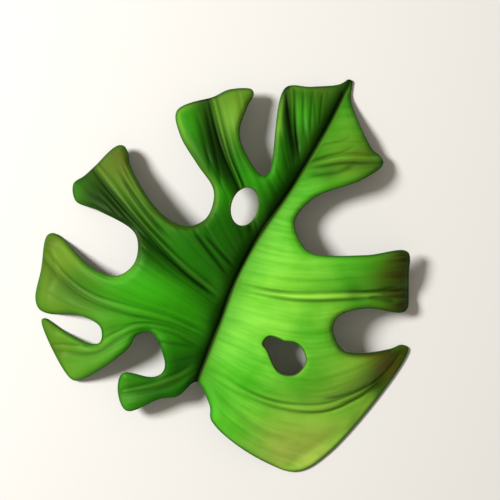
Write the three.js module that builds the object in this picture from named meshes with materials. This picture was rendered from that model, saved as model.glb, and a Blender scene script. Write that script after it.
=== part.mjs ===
// A monstera leaf rolled and cut from modelling clay: one blade with split, holed and curling lobes.
// Millimetres, +Z up. +Y runs along the midrib to the tip, and the lobe tips lie on the surface.
import * as THREE from 'three';

// ---- Driving dimensions -------------------------------------------------------------------------
const CLAY_THICKNESS = 0.9;
const DOME_HEIGHT = 10.8;       // underside of the arched blade, if it had no valley
const DOME_CENTRE = [-3, 32];
const DOME_SIDE_REACH = 46;     // from the centre out to where the blade meets the surface
const DOME_TIP_REACH = 50;
const DOME_BASE_REACH = 56;
const DOME_FULLNESS = 2.2;      // above 1 the dome stays flat on top and falls towards its edge
const DOME_REACH_LIMIT = 1.5;   // farther out the dome falls no lower
const VALLEY_SHARE = 0.44;      // height left along the midrib, as a share of the dome
const VALLEY_REACH = 20;        // from the midrib out to the crest of each half
const LEFT_STEEPNESS = 0.62;    // below 1 the half climbs fastest beside the midrib
const RIGHT_STEEPNESS = 0.9;
const FOLD_DEPTH = 1.5;         // each lobe is pressed down along its own vein
const FOLD_HALF_WIDTH = 3;
const FOLD_START = 3;           // folds begin this far from the midrib
const MESH_STEP = 2;            // edge length of the triangles
const RIM_STEP = 1.25;          // and of their edges along the rim and the holes
const CLEARANCE = 0.72;         // an inner point keeps this many steps from its neighbours
const CLAY_COLOUR = '#4fae2a';

// ---- Outline ------------------------------------------------------------------------------------
// From the notch where the stem joined (the origin), up the left side to the tip and down the right.
const RIM = [
  [0, 0],
  // left basal lobe and the arched notch above it
  [-2.5, -5], [-6, -7.5], [-12, -14], [-16, -11], [-17, -6],
  [-10, -3.5], [-8.5, -1.5], [-9, 1], [-15, 6], [-18, 4], [-18.5, 0],
  // lowest long lobe and the slit above it
  [-26.5, -13.5], [-29, -13.5], [-41, -4.5], [-41, -3.5],
  [-34, -4], [-27.5, -3.5], [-25.5, -2], [-27, 1.5], [-33, 1.5],
  // second long lobe and notch
  [-40.5, -2], [-43, -2], [-45, 0], [-47, 7], [-49.5, 14.5], [-49, 16],
  [-47, 16.5], [-36, 13.5], [-29, 14.5], [-26.5, 19.5], [-29.5, 25.5], [-40, 26.5],
  // third long lobe and notch
  [-47, 26], [-49.5, 29.5], [-48, 32.5], [-44, 42.5], [-42.5, 43.5],
  [-40.5, 42.5], [-38.5, 40], [-29, 34], [-22.5, 32.4], [-18.3, 33.6], [-16, 36.8],
  [-16.2, 41], [-17.8, 44], [-24, 47.5], [-31, 52],
  // upper lobe and notch
  [-34.5, 57], [-28, 64.5], [-25.5, 67.5], [-20.5, 70], [-19.5, 69],
  [-19.5, 66], [-18, 58.5], [-10, 52.5], [-8, 52.5], [-7.5, 54],
  // end lobe with the tip
  [-13.5, 74.5], [-8, 77.5], [-2, 81.5], [0, 84], [2.5, 79], [12.5, 70.5], [15, 70], [16.5, 68.5],
  // right upper notch and lobe
  [13.5, 62.5], [5, 53], [3.5, 46], [8, 41.5], [11, 41], [22.5, 46.5],
  [31.5, 52], [34.3, 47.3], [38, 39.5],
  // right lower notch and the broad right lobe
  [37, 38], [28.5, 35], [23.5, 30.5], [23.5, 27], [28.5, 23.5], [39, 29],
  [41, 31], [43, 31], [37.5, -0.5], [32, -9], [22, -10], [7.5, -6.5], [5.5, -3.5],
];

const LEFT_HOLE = { x: -9, y: 43.6, width: 6.4, length: 9.4, turn: 12 };
const RIGHT_HOLE = [
  [10.1, 16], [10.4, 18.2], [12.2, 18.9], [14.3, 19], [16.5, 19.8], [18.8, 19.4],
  [21.2, 16.8], [20.6, 13.4], [18.8, 12.1], [16.3, 11.9], [13.1, 14], [11.6, 15.3],
];

const MIDRIB = [[0, 0], [-1.5, 14], [-3, 28], [-2.8, 38], [-1, 53], [0, 69], [0, 84]];

// The vein of each lobe, from the midrib outwards.
const LOBE_VEINS = [
  [[-1, 5.5], [-4, 0], [-9, -5.5], [-14.5, -10]],
  [[-1.5, 9], [-11, 9], [-18, 6.5], [-22, 2], [-26.5, -4.5], [-35, -8.5]],
  [[-1.5, 11.5], [-12, 11], [-23, 8.5], [-32.5, 7], [-41, 8], [-47.5, 10.5]],
  [[-3.5, 21.5], [-15.5, 24], [-27.5, 28], [-37.5, 32], [-47, 36]],
  [[-3, 38], [-11.5, 47], [-18.5, 53], [-28, 63.5]],
  [[-2, 58.5], [-7, 65.5], [-12, 74]],
  [[-1, 58.5], [7, 65], [15, 69]],
  [[-3, 25], [11, 29.5], [24.5, 36.5], [36.5, 43]],
  [[-0.5, 4], [13, 3.5], [30.5, 8.5], [40.5, 21], [42.5, 28.5]],
];

// ---- Curves -------------------------------------------------------------------------------------
const toVector = ([x, y]) => new THREE.Vector3(x, y, 0);

function evenPoints(points, closed, step) {
  const curve = new THREE.CatmullRomCurve3(points.map(toVector), closed, 'centripetal');
  const count = Math.round(curve.getLength() / step);
  const spaced = curve.getSpacedPoints(count);
  return closed ? spaced.slice(0, -1) : spaced;
}

function ellipsePoints({ x, y, width, length, turn }, step) {
  const curve = new THREE.EllipseCurve(x, y, width / 2, length / 2, 0, 2 * Math.PI, false,
    THREE.MathUtils.degToRad(turn));
  return curve.getSpacedPoints(Math.round(curve.getLength() / step)).slice(0, -1);
}

function nearestOn(line, x, y) {
  let best = { distance: Infinity };
  for (let i = 0; i + 1 < line.length; i++) {
    const a = line[i];
    const b = line[i + 1];
    const dx = b.x - a.x;
    const dy = b.y - a.y;
    const along = THREE.MathUtils.clamp(((x - a.x) * dx + (y - a.y) * dy) / (dx * dx + dy * dy), 0, 1);
    const offsetX = x - a.x - along * dx;
    const offsetY = y - a.y - along * dy;
    const distance = Math.hypot(offsetX, offsetY);
    if (distance < best.distance) {
      best = { distance, side: Math.sign(offsetX * dy - offsetY * dx) };
    }
  }
  return best;
}

const midribLine = evenPoints(MIDRIB, false, MESH_STEP);
const veinLines = LOBE_VEINS.map((vein) => evenPoints(vein, false, MESH_STEP));

// ---- Height of the underside --------------------------------------------------------------------
function domeHeight(x, y) {
  const offsetY = y - DOME_CENTRE[1];
  const across = (x - DOME_CENTRE[0]) / DOME_SIDE_REACH;
  const along = offsetY / (offsetY > 0 ? DOME_TIP_REACH : DOME_BASE_REACH);
  const reach = Math.min(Math.hypot(across, along) ** DOME_FULLNESS, DOME_REACH_LIMIT);
  return DOME_HEIGHT * Math.cos((Math.PI / 2) * reach);
}

function valleyShare({ distance, side }) {
  const steepness = side < 0 ? LEFT_STEEPNESS : RIGHT_STEEPNESS;
  const out = Math.min(distance / VALLEY_REACH, 1);
  return VALLEY_SHARE + (1 - VALLEY_SHARE) * Math.sin((Math.PI / 2) * out) ** steepness;
}

function undersideHeight(x, y) {
  const midrib = nearestOn(midribLine, x, y);
  const nearestVein = Math.min(...veinLines.map((vein) => nearestOn(vein, x, y).distance));
  const foldStrength = THREE.MathUtils.smoothstep(midrib.distance, 0, FOLD_START);
  const fold = FOLD_DEPTH * foldStrength * Math.exp(-((nearestVein / FOLD_HALF_WIDTH) ** 2));
  return Math.max(domeHeight(x, y) * valleyShare(midrib) - fold, 0);
}

function topsideHeight(x, y) {
  const reach = MESH_STEP / 2;
  const slopeX = (undersideHeight(x + reach, y) - undersideHeight(x - reach, y)) / (2 * reach);
  const slopeY = (undersideHeight(x, y + reach) - undersideHeight(x, y - reach)) / (2 * reach);
  return undersideHeight(x, y) + CLAY_THICKNESS * Math.hypot(1, slopeX, slopeY);
}

// ---- Flat pattern of the blade ------------------------------------------------------------------
function isInside(loops, x, y) {
  let inside = false;
  for (const loop of loops) {
    for (let i = 0; i < loop.length; i++) {
      const a = loop[i];
      const b = loop[(i + 1) % loop.length];
      if ((a.y > y) !== (b.y > y) && x < a.x + ((y - a.y) / (b.y - a.y)) * (b.x - a.x)) {
        inside = !inside;
      }
    }
  }
  return inside;
}

// Rim points first, then points along the creases, then a triangular grid in what is left.
function patternPoints(loops, creases) {
  const rimPoints = loops.flat();
  const points = rimPoints.map(({ x, y }) => [x, y]);
  const addWhereClear = (x, y) => {
    const isClear = points.every((p) => Math.hypot(p[0] - x, p[1] - y) > CLEARANCE * MESH_STEP);
    if (isClear && isInside(loops, x, y)) points.push([x, y]);
  };
  for (const { x, y } of creases.flat()) addWhereClear(x, y);
  const { min, max } = new THREE.Box3().setFromPoints(rimPoints);
  const rowHeight = MESH_STEP * Math.sin(Math.PI / 3);
  for (let row = 0, y = min.y; y < max.y; row++, y += rowHeight) {
    for (let x = min.x + (row % 2) * (MESH_STEP / 2); x < max.x; x += MESH_STEP) addWhereClear(x, y);
  }
  return points;
}

function circleThrough(a, b, c) {
  const bx = b[0] - a[0];
  const by = b[1] - a[1];
  const cx = c[0] - a[0];
  const cy = c[1] - a[1];
  const scale = 2 * (bx * cy - by * cx);
  const x = (cy * (bx * bx + by * by) - by * (cx * cx + cy * cy)) / scale;
  const y = (bx * (cx * cx + cy * cy) - cx * (bx * bx + by * by)) / scale;
  return { x: a[0] + x, y: a[1] + y, radiusSquared: x * x + y * y };
}

// Delaunay triangles, by adding one point at a time and refilling the hole that its circles open.
function triangulate(points) {
  const far = 1000;   // the three starting corners lie well outside the blade
  const all = [...points, [-far, -far], [far, -far], [0, far]];
  const corners = [points.length, points.length + 1, points.length + 2];
  const makeTriangle = (ids) => ({ ids, circle: circleThrough(...ids.map((id) => all[id])) });
  let triangles = [makeTriangle(corners)];
  points.forEach(([x, y], id) => {
    const holeEdges = new Map();
    const kept = [];
    for (const triangle of triangles) {
      const { circle, ids } = triangle;
      if ((circle.x - x) ** 2 + (circle.y - y) ** 2 >= circle.radiusSquared) {
        kept.push(triangle);
        continue;
      }
      for (let side = 0; side < 3; side++) {
        const from = ids[side];
        const to = ids[(side + 1) % 3];
        if (!holeEdges.delete(`${to} ${from}`)) holeEdges.set(`${from} ${to}`, [from, to]);
      }
    }
    for (const [from, to] of holeEdges.values()) kept.push(makeTriangle([from, to, id]));
    triangles = kept;
  });
  return triangles.map(({ ids }) => ids).filter((ids) => ids.every((id) => id < points.length));
}

// ---- Solid --------------------------------------------------------------------------------------
function buildBlade() {
  const loops = [
    evenPoints(RIM, true, RIM_STEP),
    ellipsePoints(LEFT_HOLE, RIM_STEP),
    evenPoints(RIGHT_HOLE, true, RIM_STEP),
  ];
  const points = patternPoints(loops, [midribLine, ...veinLines]);
  const topTriangles = triangulate(points).filter((ids) => {
    const [a, b, c] = ids.map((id) => points[id]);
    return isInside(loops, (a[0] + b[0] + c[0]) / 3, (a[1] + b[1] + c[1]) / 3);
  });

  const positions = [];
  for (const [x, y] of points) positions.push(x, y, topsideHeight(x, y));
  for (const [x, y] of points) positions.push(x, y, undersideHeight(x, y));

  const below = points.length;
  const openEdges = new Map();
  const faces = [];
  for (const [a, b, c] of topTriangles) {
    faces.push(a, b, c, a + below, c + below, b + below);
    for (const [from, to] of [[a, b], [b, c], [c, a]]) {
      if (!openEdges.delete(`${to} ${from}`)) openEdges.set(`${from} ${to}`, [from, to]);
    }
  }
  for (const [from, to] of openEdges.values()) {
    faces.push(from, from + below, to + below, from, to + below, to);
  }

  const geometry = new THREE.BufferGeometry();
  geometry.setAttribute('position', new THREE.Float32BufferAttribute(positions, 3));
  geometry.setIndex(faces);
  geometry.computeVertexNormals();
  geometry.computeBoundingBox();
  const { min, max } = geometry.boundingBox;
  geometry.translate(-(min.x + max.x) / 2, -(min.y + max.y) / 2, -min.z);
  return geometry;
}

const clay = new THREE.MeshStandardMaterial({ color: CLAY_COLOUR, roughness: 0.6, metalness: 0 });
const leaf = new THREE.Mesh(buildBlade(), clay);
leaf.name = 'leaf';

const monsteraLeaf = new THREE.Group();
monsteraLeaf.add(leaf);

export default monsteraLeaf;
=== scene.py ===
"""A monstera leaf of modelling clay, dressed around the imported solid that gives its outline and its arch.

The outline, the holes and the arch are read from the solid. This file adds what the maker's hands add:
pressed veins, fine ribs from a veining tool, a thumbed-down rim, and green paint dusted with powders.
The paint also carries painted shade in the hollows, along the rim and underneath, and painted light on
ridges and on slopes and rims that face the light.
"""

import logging
import math
from dataclasses import dataclass
from enum import Enum

import bpy
import numpy as np
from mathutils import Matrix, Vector
from mathutils.bvhtree import BVHTree
from mathutils.geometry import delaunay_2d_cdt
from mathutils.kdtree import KDTree


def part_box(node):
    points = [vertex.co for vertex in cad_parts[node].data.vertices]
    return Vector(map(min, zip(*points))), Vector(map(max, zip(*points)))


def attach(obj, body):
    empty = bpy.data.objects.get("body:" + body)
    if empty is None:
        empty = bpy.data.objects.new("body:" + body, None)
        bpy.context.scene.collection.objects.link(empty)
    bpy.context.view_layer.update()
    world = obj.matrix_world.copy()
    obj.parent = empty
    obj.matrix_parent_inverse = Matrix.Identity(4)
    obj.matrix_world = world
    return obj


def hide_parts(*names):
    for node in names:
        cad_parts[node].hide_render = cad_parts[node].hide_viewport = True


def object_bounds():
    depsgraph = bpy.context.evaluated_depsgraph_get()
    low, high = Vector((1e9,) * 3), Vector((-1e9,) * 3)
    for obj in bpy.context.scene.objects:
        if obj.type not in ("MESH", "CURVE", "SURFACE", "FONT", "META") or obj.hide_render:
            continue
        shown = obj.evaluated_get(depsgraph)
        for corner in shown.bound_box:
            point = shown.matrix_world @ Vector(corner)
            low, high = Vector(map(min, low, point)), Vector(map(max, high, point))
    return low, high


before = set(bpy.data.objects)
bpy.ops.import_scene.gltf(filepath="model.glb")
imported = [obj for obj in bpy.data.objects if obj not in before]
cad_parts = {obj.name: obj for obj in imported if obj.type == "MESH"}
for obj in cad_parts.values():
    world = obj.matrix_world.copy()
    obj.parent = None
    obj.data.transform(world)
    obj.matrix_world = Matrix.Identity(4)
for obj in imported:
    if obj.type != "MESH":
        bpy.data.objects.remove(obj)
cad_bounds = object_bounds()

LOG = logging.getLogger("monstera_leaf")
MM = 0.001
NODE = "leaf"
BODY = "root"
PIECE = "leaf_blade"
SLIVER = 1e-6          # Keeps a division away from zero.
CURVE_CUTS = 12        # Places worked out on a curve between two of its points.
BELL_REACH = 3         # Widths from its middle at which a bell is cut off.
MIX_FACTOR, MIX_FIRST, MIX_SECOND, MIX_RESULT = 0, 6, 7, 2      # The colour sockets of a Mix node.

Source = bpy.types.NodeSocket | tuple | float
Points = tuple[tuple[float, float], ...]
Range = tuple[float, float]


class Half(Enum):
    """The two halves of the blade, seen from above with the tip away from the viewer."""

    LEFT = -1
    RIGHT = 1


class Dust(Enum):
    """Powder colours brushed on over the green paint. The dark one is painted shade, and the yellow-green
    one is partly painted light.
    """

    DEEP = "deep_dust"
    DARK = "dark_dust"
    LIME = "lime"
    OLIVE = "olive"
    GOLD = "gold"
    RUST = "rust"
    BROWN = "brown"


# ---- Node helpers -------------------------------------------------------------------------------

def add_node(tree: bpy.types.NodeTree, kind: str, inputs: dict | None = None,
             **settings: object) -> bpy.types.Node:
    """Adds one node with its settings, input values and links.

    Args:
        tree: Node tree that gets the node.
        kind: Blender's type name of the node.
        inputs: Socket name or index to a value, or to the socket that is linked into it.
        **settings: Properties of the node.

    Returns:
        The new node.
    """
    node = tree.nodes.new(kind)
    for name, value in settings.items():
        setattr(node, name, value)
    for socket, source in (inputs or {}).items():
        if isinstance(source, bpy.types.NodeSocket):
            tree.links.new(source, node.inputs[socket])
        else:
            node.inputs[socket].default_value = source
    return node


def linear_colour(hex_code: str) -> tuple[float, float, float, float]:
    """Turns an sRGB hex colour into the linear one that shaders use.

    Args:
        hex_code: Six hex digits after a number sign.

    Returns:
        Linear red, green, blue and an alpha of 1.
    """
    channels = [int(hex_code[i:i + 2], 16) / 255 for i in (1, 3, 5)]
    linear = [c / 12.92 if c <= 0.04045 else ((c + 0.055) / 1.055) ** 2.4 for c in channels]
    return (*linear, 1.0)


# ---- Lines on the blade's flat pattern ----------------------------------------------------------

def smooth_line(points: np.ndarray, step: float, closed: bool = False) -> np.ndarray:
    """Runs a centripetal Catmull-Rom curve through points and spaces new points evenly along it.

    Args:
        points: Places that the curve passes through, in mm.
        step: Wanted distance between the new points, in mm.
        closed: True if the curve returns to its first point.

    Returns:
        The new points. A closed line doesn't repeat its first one.
    """
    knots = np.asarray(points, float)
    if closed:
        run = np.vstack([knots[-1:], knots, knots[:2]])
    else:
        run = np.vstack([2 * knots[:1] - knots[1:2], knots, 2 * knots[-1:] - knots[-2:-1]])
    gaps = np.sqrt(np.linalg.norm(np.diff(run, axis=0), axis=1))
    share = np.linspace(0, 1, CURVE_CUTS, endpoint=False)[:, None]
    pieces = []
    for i in range(len(run) - 3):
        p0, p1, p2, p3 = run[i:i + 4]
        t1 = gaps[i]
        t2 = t1 + gaps[i + 1]
        t3 = t2 + gaps[i + 2]
        t = t1 + share * (t2 - t1)
        a1 = ((t1 - t) * p0 + t * p1) / t1
        a2 = ((t2 - t) * p1 + (t - t1) * p2) / (t2 - t1)
        a3 = ((t3 - t) * p2 + (t - t2) * p3) / (t3 - t2)
        b1 = ((t2 - t) * a1 + t * a2) / t2
        b2 = ((t3 - t) * a2 + (t - t1) * a3) / (t3 - t1)
        pieces.append(((t2 - t) * b1 + (t - t1) * b2) / (t2 - t1))
    curve = np.vstack([*pieces, knots[:1] if closed else knots[-1:]])
    length = np.concatenate([[0], np.cumsum(np.linalg.norm(np.diff(curve, axis=0), axis=1))])
    stops = np.linspace(0, length[-1], max(2, round(length[-1] / step)) + 1)
    line = np.column_stack([np.interp(stops, length, curve[:, axis]) for axis in (0, 1)])
    return line[:-1] if closed else line


@dataclass
class Nearest:
    """Where points lie against a line: how far off, on which side (+1 is right of it) and how far on."""

    distance: np.ndarray
    side: np.ndarray
    along: np.ndarray


def nearest_on(line: np.ndarray, points: np.ndarray) -> Nearest:
    """Finds the nearest place on a line for each point.

    Args:
        line: Points of an open line, in mm.
        points: Places to measure, in mm.

    Returns:
        Distance, side and run along the line of each point.
    """
    found = Nearest(np.full(len(points), np.inf), np.ones(len(points)), np.zeros(len(points)))
    run = 0.0
    for start, end in zip(line[:-1], line[1:]):
        edge = end - start
        length = float(np.hypot(*edge))
        offset = points - start
        share = np.clip(offset @ edge / length**2, 0, 1)
        apart = offset - share[:, None] * edge
        distance = np.hypot(apart[:, 0], apart[:, 1])
        closer = distance < found.distance
        found.distance[closer] = distance[closer]
        found.side[closer] = np.sign(apart[:, 0] * edge[1] - apart[:, 1] * edge[0])[closer]
        found.along[closer] = (run + share * length)[closer]
        run += length
    return found


def line_length(line: np.ndarray) -> float:
    """Adds up the lengths between the points of a line."""
    return np.linalg.norm(np.diff(line, axis=0), axis=1).sum()


def smooth_step(value: np.ndarray, low: float, high: float) -> np.ndarray:
    """Rises smoothly from 0 at low to 1 at high."""
    share = np.clip((value - low) / (high - low), 0, 1)
    return share * share * (3 - 2 * share)


def bell(value: np.ndarray, width: float) -> np.ndarray:
    """Falls smoothly from 1 at zero to about a third at one width."""
    return np.exp(-((value / width) ** 2))


# ---- Veins --------------------------------------------------------------------------------------

@dataclass(frozen=True)
class Vein:
    """One vein pressed from the midrib out along a lobe. Sizes are in mm.

    Its points are counted from the notch where the stem joined, with y along the midrib. Its order is its
    place in the fan of its half, and the fine ribs between two veins follow both. The blade falls into it
    by a trough, whose wall is steep on the side of the base. A narrow ridge runs between two grooves at the
    bottom. Shade is painted shade on the wall, rub a painted highlight along the ridge, and rise the length
    over which the vein starts.
    """

    name: str
    half: Half
    order: float
    points: Points
    groove: float = 0.4
    trough: float = 0.7
    wall: float = 2.6
    shade: float = 0.6
    painted_ridge_highlight: float = 0.3
    rise: float = 6.0


@dataclass(frozen=True)
class Crease:
    """A short line pressed or folded into the clay. Sizes are in mm."""

    name: str
    points: Points
    depth: float = 0.3
    width: float = 0.45


MIDRIB = ((0, 0), (-1.5, 14), (-3, 28), (-2.8, 38), (-1, 53), (0, 69), (0, 84))

VEINS = (
    Vein("left basal", Half.LEFT, -8,
         ((-1, 5.5), (-4, 0), (-9, -5.5), (-14.5, -10)), 0.25, 0.4, 2.0, 0.2, 0.2),
    Vein("left fifth", Half.LEFT, 0,
         ((-1.5, 9), (-11, 9), (-18, 6.5), (-22, 2), (-26.5, -4.5), (-35, -8.5)),
         0.22, 0.5, 2.0, 0.2, 0.1),
    Vein("left fourth", Half.LEFT, 8,
         ((-1.5, 11.5), (-12, 11), (-23, 8.5), (-32.5, 7), (-41, 8), (-47.5, 10.5)),
         0.26, 0.5, 2.0, 0.2, 0.1),
    Vein("left third", Half.LEFT, 26,
         ((-3.5, 21.5), (-15.5, 24), (-27.5, 28), (-37.5, 32), (-47, 36)), 0.5, 1.2, 6.0, 1.0, 0.15),
    Vein("left second", Half.LEFT, 48,
         ((-3, 38), (-11.5, 47), (-18.5, 53), (-28, 63.5)), 0.5, 1.1, 3.2, 1.0, 0.3),
    Vein("left end", Half.LEFT, 66, ((-2, 58.5), (-7, 65.5), (-12, 74)), 0.5, 0.9, 1.5, 1.0, 0.2),
    Vein("right basal", Half.RIGHT, -12,
         ((1, -0.5), (8.5, -6), (19.5, -9), (31.5, -8.5)), 0, 0, 1, 0, 0),
    Vein("right third", Half.RIGHT, 0,
         ((-0.5, 4), (13, 3.5), (22.5, 5), (30.5, 8.5), (36, 14), (40.5, 21), (42.5, 28.5)),
         0.48, 0.5, 2.6, 0.1, 0.7, 24),
    Vein("right second", Half.RIGHT, 22,
         ((-3, 25), (11, 29.5), (24.5, 36.5), (36.5, 43)), 0.5, 0.35, 2.2, 0.1, 0.9, 12),
    Vein("right end", Half.RIGHT, 50, ((-1, 58.5), (3, 62), (7, 65), (15, 69)), 0.45, 0.6, 1.8, 0.4, 0.3),
)

CREASES = (
    Crease("left inner, lower", ((-3.5, 26), (-9.5, 29), (-18, 33)), 0.4, 0.5),
    Crease("left inner, upper", ((-3.5, 29), (-9, 31), (-15, 33.5)), 0.35, 0.45),
    Crease("left below the fourth", ((-3, 8), (-10, 6), (-16, 3)), 0.2, 0.5),
    Crease("left second, on its wall", ((-15, 44), (-22, 53), (-30, 62.5)), 0.3, 0.5),
    Crease("left second, outer on its wall", ((-19, 46), (-24.5, 53), (-31.5, 60)), 0.2, 0.5),
    Crease("left third, on its wall", ((-14, 22.5), (-27, 26), (-38, 30), (-46, 33)), 0.3, 0.5),
    Crease("left third, outer on its wall", ((-27, 24), (-36, 28), (-45, 30.5)), 0.2, 0.5),
    Crease("left third, on its panel", ((-20, 27.5), (-31, 32), (-42, 38)), 0.42, 0.5),
    Crease("left third, outer on its panel", ((-24, 31), (-33, 34.5), (-42, 40.5)), 0.2, 0.4),
    Crease("left end, first on its panel", ((-3, 64), (-6.5, 70), (-9.5, 77)), 0.16, 0.3),
    Crease("left end, second on its panel", ((-2.5, 66), (-5, 71.5), (-7.5, 77.5)), 0.16, 0.3),
    Crease("left end, third on its panel", ((-1.5, 69), (-3.5, 74), (-5, 78.5)), 0.14, 0.3),
    Crease("right end, fold under the vein", ((0.5, 57), (4.5, 59.5), (8, 62), (11, 66.5)), 0.35, 0.6),
    Crease("right end, first wrinkle", ((0, 65), (3.5, 67.5), (7, 71)), 0.12, 0.4),
    Crease("right end, second wrinkle", ((0.5, 61), (5, 65), (9, 70)), 0.12, 0.4),
    Crease("right second, upper branch", ((25, 37.5), (29, 40), (31.5, 42), (34.5, 44.2)), 0.3, 0.45),
    Crease("right second, lower branch", ((27.5, 37.5), (31.5, 39), (35, 40)), 0.35, 0.5),
    Crease("right second, middle branch", ((30, 39.7), (32.5, 41.3), (35, 43)), 0.25, 0.35),
    Crease("right third, upper branch", ((29, 10.5), (32.5, 12.5), (36, 16), (38.5, 20)), 0.35, 0.45),
    Crease("right third, lower branch", ((33.5, 10.5), (37, 14.3), (39, 17.5), (41, 21.5)), 0.3, 0.4),
    Crease("right third, long crease", ((3, 1), (12, -1.5), (21, -3), (30, -1)), 0.15, 0.7),
)


@dataclass
class FanPlaces:
    """Points measured against the midrib, the veins and the creases, and their place in the fan (flow)."""

    spine: Nearest
    veins: list[Nearest]
    creases: list[Nearest]
    flow: np.ndarray


@dataclass
class VeinFan:
    """All the veins, and where the points of a pattern lie among them.

    The lines' points lie one step apart, in mm. Beyond the outermost vein of a half, the fan goes on by the
    open spacing for each mm.
    """

    step: float = 2.0
    open_spacing: float = 1.0

    def __post_init__(self) -> None:
        """Draws the midrib, each vein and each crease as a smooth line."""
        self.midrib = smooth_line(MIDRIB, self.step)
        self.lines = [smooth_line(vein.points, self.step) for vein in VEINS]
        self.creases = [smooth_line(crease.points, self.step) for crease in CREASES]

    def nearest_line(self, points: np.ndarray) -> np.ndarray:
        """Measures how far each point is from the nearest midrib, vein or crease."""
        lines = [self.midrib, *self.lines, *self.creases]
        return np.min([nearest_on(line, points).distance for line in lines], axis=0)

    def place(self, points: np.ndarray) -> FanPlaces:
        """Measures points against the midrib and every vein.

        Args:
            points: Places on the flat pattern, in mm.

        Returns:
            The measures that the relief, the ribs and the paint are made from.
        """
        spine = nearest_on(self.midrib, points)
        near = [nearest_on(line, points) for line in self.lines]
        flow = np.zeros(len(points))
        for half in Half:
            members = [i for i, vein in enumerate(VEINS) if vein.half is half]
            here = spine.side < 0 if half is Half.LEFT else spine.side >= 0
            distances = np.array([near[i].distance for i in members])
            nearest = distances.argmin(axis=0)
            orders = np.array([VEINS[i].order for i in members])
            sides = np.array([near[i].side for i in members])
            rows = np.arange(len(points))
            towards_tip = np.where(half is Half.LEFT, sides[nearest, rows], -sides[nearest, rows])
            step = np.where(towards_tip >= 0, 1, -1)
            neighbour = nearest + step
            open_end = (neighbour < 0) | (neighbour >= len(members))
            neighbour = np.clip(neighbour, 0, len(members) - 1)
            own = distances[nearest, rows]
            other = distances[neighbour, rows]
            towards_other = (orders[neighbour] - orders[nearest]) * own / (own + other + SLIVER)
            beyond = orders[nearest] + step * own * self.open_spacing
            flow[here] = np.where(open_end, beyond, orders[nearest] + towards_other)[here]
        creases = [nearest_on(line, points) for line in self.creases]
        return FanPlaces(spine, near, creases, flow)


# ---- Arch and outline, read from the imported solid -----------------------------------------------

def blurred(grid: np.ndarray, sigma: float) -> np.ndarray:
    """Blurs a grid by a bell whose width is sigma cells.

    Args:
        grid: Values to blur.
        sigma: Width of the bell, in cells.

    Returns:
        The blurred grid.
    """
    reach = math.ceil(BELL_REACH * sigma)
    offsets = range(-reach, reach + 1)
    weights = [math.exp(-0.5 * (offset / sigma) ** 2) for offset in offsets]
    for axis in (0, 1):
        padded = np.pad(grid, [(reach, reach) if a == axis else (0, 0) for a in (0, 1)], mode="edge")
        total = np.zeros_like(grid)
        for offset, weight in zip(offsets, weights):
            start = reach + offset
            total += weight * np.take(padded, np.arange(start, start + grid.shape[axis]), axis=axis)
        grid = total / sum(weights)
    return grid


@dataclass
class HeightMap:
    """Heights on a square grid, in mm."""

    origin: np.ndarray
    pitch: float
    heights: np.ndarray
    far_side: float = 1.001        # Cells kept free, so that each point has a grid place beyond it.

    def at(self, points: np.ndarray) -> np.ndarray:
        """Reads the height under each point, even between the grid's own places.

        Args:
            points: Places on the flat pattern, in mm.

        Returns:
            The height at each point, in mm.
        """
        cell = (points - self.origin) / self.pitch
        rows, columns = self.heights.shape
        x = np.clip(cell[:, 0], 0, columns - self.far_side)
        y = np.clip(cell[:, 1], 0, rows - self.far_side)
        column, row = x.astype(int), y.astype(int)
        fx, fy = x - column, y - row
        grid = self.heights
        lower = grid[row, column] * (1 - fx) + grid[row, column + 1] * fx
        upper = grid[row + 1, column] * (1 - fx) + grid[row + 1, column + 1] * fx
        return lower * (1 - fy) + upper * fy


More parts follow.
